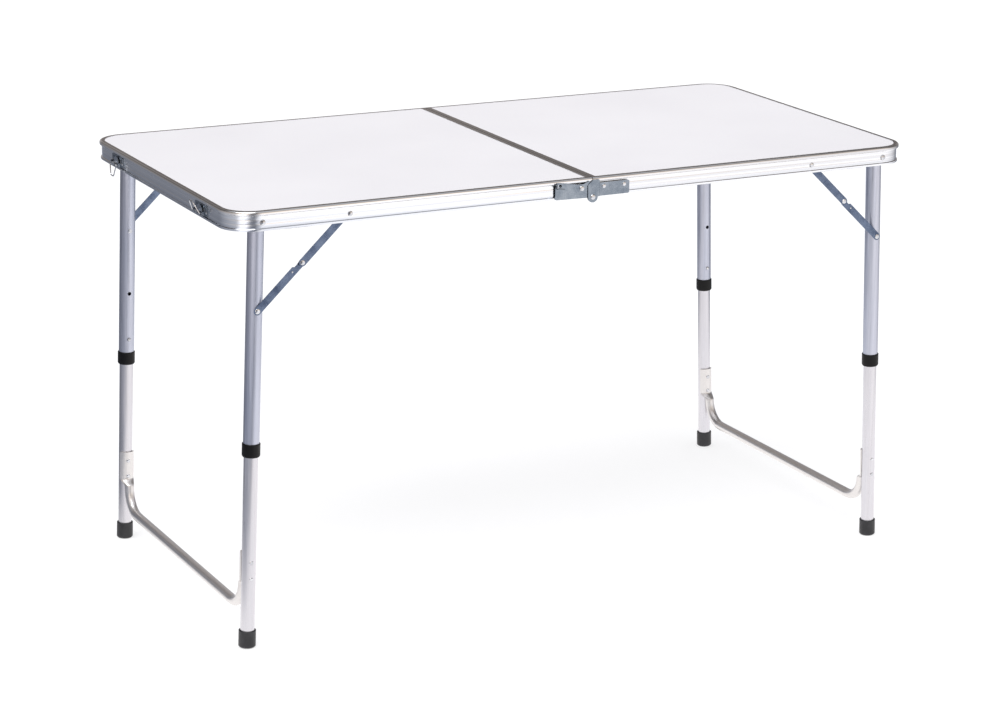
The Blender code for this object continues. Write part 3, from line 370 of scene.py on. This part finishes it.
def dress(name, item):
    """Puts a piece's material on it, and a second one on its lip or rivet heads: a darker one on
    the lip, a painted dark reflection, and a brighter one on rivet heads, partly a brighter metal
    and partly a painted highlight.
    """
    look = look_for(name)
    mesh = item.data
    mesh.materials.clear()
    mesh.materials.append(LOOKS[look])
    chosen = set()
    if look == "frame":
        # the lip gets the darker material, a painted dark reflection
        mesh.materials.append(LOOKS["lip"])
        chosen = {face.index for face in lip_faces(mesh)}
    elif look in ("zinc", "brace"):
        # rivet heads get the brighter rivet material: partly a brighter metal, partly a painted
        # highlight
        mesh.materials.append(LOOKS["rivet"])
        axis = 0 if "clasp" in name else 1
        chosen = {face.index for face in head_faces(mesh, axis)}
    elif look in ("tube", "lower"):
        # the rivet heads on a tube get the same brighter material, partly a painted highlight
        mesh.materials.append(LOOKS["rivet"])
        chosen = {face.index for face in tube_heads(mesh)}
    for face in mesh.polygons:
        face.material_index = 1 if face.index in chosen else 0
    soften(item, SADDLE_ANGLE if look == "bar" else SMOOTH_ANGLE)


for node_name, node in nodes.items():
    dress(node_name, node)


# ---------------------------------------------------------------- studio


FLOOR_COLOUR = (0.36, 0.36, 0.365, 1)
FLOOR_GLOW = 0.66  # keeps the floor white where the table shades it a little
FLOOR_HALF = 40
FLOOR_LEVEL = -0.0005
MIRRORED_FLOOR_LEVEL = -0.0004


def studio(name, mesh, look, hidden_from):
    """Adds a piece of the studio, left out of the given kinds of ray."""
    mesh.materials.append(look)
    item = bpy.data.objects.new(name, mesh)
    bpy.context.scene.collection.objects.link(item)
    for kind in hidden_from:
        setattr(item, "visible_" + kind, False)
    return item


def floor():
    m = Nodes("pale_floor", FLOOR_COLOUR[:3])
    m.set(Base_Color=FLOOR_COLOUR, Roughness=0.9)
    m.set(Emission_Color=WHITE, Emission_Strength=FLOOR_GLOW)
    mesh = bpy.data.meshes.new("studio_floor")
    signs = ((-1, -1), (1, -1), (1, 1), (-1, 1))
    mesh.from_pydata([(x * FLOOR_HALF, y * FLOOR_HALF, 0) for x, y in signs], [], [(0, 1, 2, 3)])
    studio("studio_floor", mesh, m.material, ["glossy"]).location.z = FLOOR_LEVEL


floor()

# What the metal reflects: grey walls with two bright panels, seen by glossy rays only.
# (direction from the table in degrees, brightness)
WALL_TONES = (
    (0, 0.25),
    (25, 0.33),
    (62, 0.50),
    (85, 0.50),
    (106, 0.44),
    (125, 0.22),
    (150, 0.30),
    (180, 0.46),
    (203, 0.60),
    (213, 1.45),
    (226, 1.40),
    (238, 0.30),
    (250, 0.22),
    (262, 0.75),
    (275, 1.30),
    (290, 1.28),
    (304, 0.98),
    (320, 0.88),
    (336, 0.56),
    (350, 0.34),
    (360, 0.25),
)
LOW_TONES = {203: 0.46, 213: 0.46, 226: 0.44}  # below the foot of the left panel
PANEL_FOOT = (0.18, 0.34)  # heights between which that panel begins
DARK_TINT = (0.74, 0.81, 1.0)  # of the dark parts of the wall
WALL_TINT = (0.93, 0.945, 1.0)  # of the bright parts
WALL_RADIUS = 1.7
WALL_HEIGHT = 2.6
WALL_STEPS = 72
DIM_FROM_TO = (0.9, 1.4)  # heights between which the wall darkens
DIMMED = 0.4
WARM_FROM_TO = (0.42, 0.68)  # heights between which it warms
WARM_TINT = (1.24, 1.07, 0.88, 1)
NEAR_FLOOR = (1.27, 1.25, 1.25, 1)  # the lit paper before the table
NEAR_CENTRE = (0.40, -0.40, 0.0)
NEAR_RADIUS = 1.12  # from that centre, where the paper starts to darken
FAR_RADIUS = 1.50  # where it is as dark as the wall


def wall_colour(tone):
    """The darker the wall, the bluer it is."""
    share = min(1.0, tone)
    return tuple(tone * (dark + (pale - dark) * share) for dark, pale in zip(DARK_TINT, WALL_TINT))


def surroundings_look():
    """Glow by direction from the table, on the floor paler towards the middle."""
    m = Nodes("surroundings_glow", (0.5, 0.5, 0.5))
    m.set(Base_Color=(0, 0, 0, 1), Roughness=1.0, Emission_Strength=1.0)
    place = m.position(PLAIN)
    parts = m.add("ShaderNodeSeparateXYZ")
    m.link(place, parts.inputs["Vector"])
    angle = m.math("ARCTAN2", parts.outputs["Y"], parts.outputs["X"])
    turned = m.math("FRACT", m.math("ADD", m.math("DIVIDE", angle, 2 * math.pi), 1.0), 0.0)
    stops = [(degrees / 360, wall_colour(tone)) for degrees, tone in WALL_TONES]
    low_tones = [(degrees, LOW_TONES.get(degrees, tone)) for degrees, tone in WALL_TONES]
    low_stops = [(degrees / 360, wall_colour(tone)) for degrees, tone in low_tones]
    height = parts.outputs["Z"]
    above = m.spread(height, 0.0, 1.0, *PANEL_FOOT)
    around = m.mix(above, m.ramp(turned, low_stops), m.ramp(turned, stops))
    around = m.mix(1.0, around, m.spread(height, 1.0, DIMMED, *DIM_FROM_TO), "MULTIPLY")
    warmth = m.mix(m.spread(height, 0.0, 1.0, *WARM_FROM_TO), WHITE, WARM_TINT)
    around = m.mix(1.0, around, warmth, "MULTIPLY")
    away = m.add("ShaderNodeVectorMath", operation="DISTANCE")
    m.link(place, away.inputs[0])
    away.inputs[1].default_value = NEAR_CENTRE
    outward = m.spread(away.outputs["Value"], 0.0, 1.0, NEAR_RADIUS, FAR_RADIUS)
    m.link(m.mix(outward, NEAR_FLOOR, around), m.shader.inputs["Emission Color"])
    return m.material


def surroundings():
    """A round wall and its floor, seen by glossy rays only."""
    work = bmesh.new()
    low, high = [], []
    for i in range(WALL_STEPS):
        angle = 2 * math.pi * i / WALL_STEPS
        x, y = WALL_RADIUS * math.cos(angle), WALL_RADIUS * math.sin(angle)
        low.append(work.verts.new((x, y, MIRRORED_FLOOR_LEVEL)))
        high.append(work.verts.new((x, y, WALL_HEIGHT)))
    for i in range(WALL_STEPS):
        j = (i + 1) % WALL_STEPS
        work.faces.new((low[i], low[j], high[j], high[i]))
    work.faces.new(low)
    mesh = bpy.data.meshes.new("surroundings")
    work.to_mesh(mesh)
    work.free()
    kinds = ["camera", "diffuse", "shadow", "transmission", "volume_scatter"]
    studio("surroundings", mesh, surroundings_look(), kinds)


surroundings()


KEY_POWER = 2.1
KEY_ANGLE = math.radians(50)  # wide, so that its shadows are soft
KEY_AIM = Vector((0.35, 0.30, -1.0))
SKY_COLOUR = (0.96, 0.97, 1.0, 1)
SKY_STRENGTH = 0.58


def lights():
    """A wide sun, so that the floor is as bright far off as it is near, and an even sky."""
    data = bpy.data.lights.new("soft_key", "SUN")
    data.energy = KEY_POWER
    data.angle = KEY_ANGLE
    item = bpy.data.objects.new("soft_key", data)
    bpy.context.scene.collection.objects.link(item)
    item.rotation_euler = KEY_AIM.to_track_quat("-Z", "Y").to_euler()
    world = bpy.data.worlds.new("studio")
    world.use_nodes = True
    sky = world.node_tree.nodes["Background"]
    sky.inputs["Color"].default_value = SKY_COLOUR
    sky.inputs["Strength"].default_value = SKY_STRENGTH
    bpy.context.scene.world = world


lights()
bpy.context.scene.view_settings.view_transform = "Standard"


# ---------------------------------------------------------------- camera

CAMERA_PLACE = Vector((-2.0601, -3.9703, 1.6363))
AZIMUTH = math.radians(-29.558)
ELEVATION = math.radians(16.313)
ROLL = math.radians(1.234)
LENS = 100.23
SENSOR_WIDTH = 36
SHIFT_X = -0.101  # as the photograph's framing needs


def camera():
    """The photograph's camera, fitted to the table's edges, feet, rivets and hinges."""
    back = Vector(
        (
            math.sin(AZIMUTH) * math.cos(ELEVATION),
            -math.cos(AZIMUTH) * math.cos(ELEVATION),
            math.sin(ELEVATION),
        )
    )
    right = Vector((0, 0, 1)).cross(back).normalized()
    up = back.cross(right)
    rolled_right = right * math.cos(ROLL) + up * math.sin(ROLL)
    rolled_up = up * math.cos(ROLL) - right * math.sin(ROLL)
    data = bpy.data.cameras.new("photo_camera")
    data.lens = LENS
    data.sensor_width = SENSOR_WIDTH
    data.shift_x = SHIFT_X
    item = bpy.data.objects.new("photo_camera", data)
    bpy.context.scene.collection.objects.link(item)
    turn = Matrix((rolled_right, rolled_up, back)).transposed().to_4x4()
    item.matrix_world = Matrix.Translation(CAMERA_PLACE) @ turn
    bpy.context.scene.camera = item


camera()
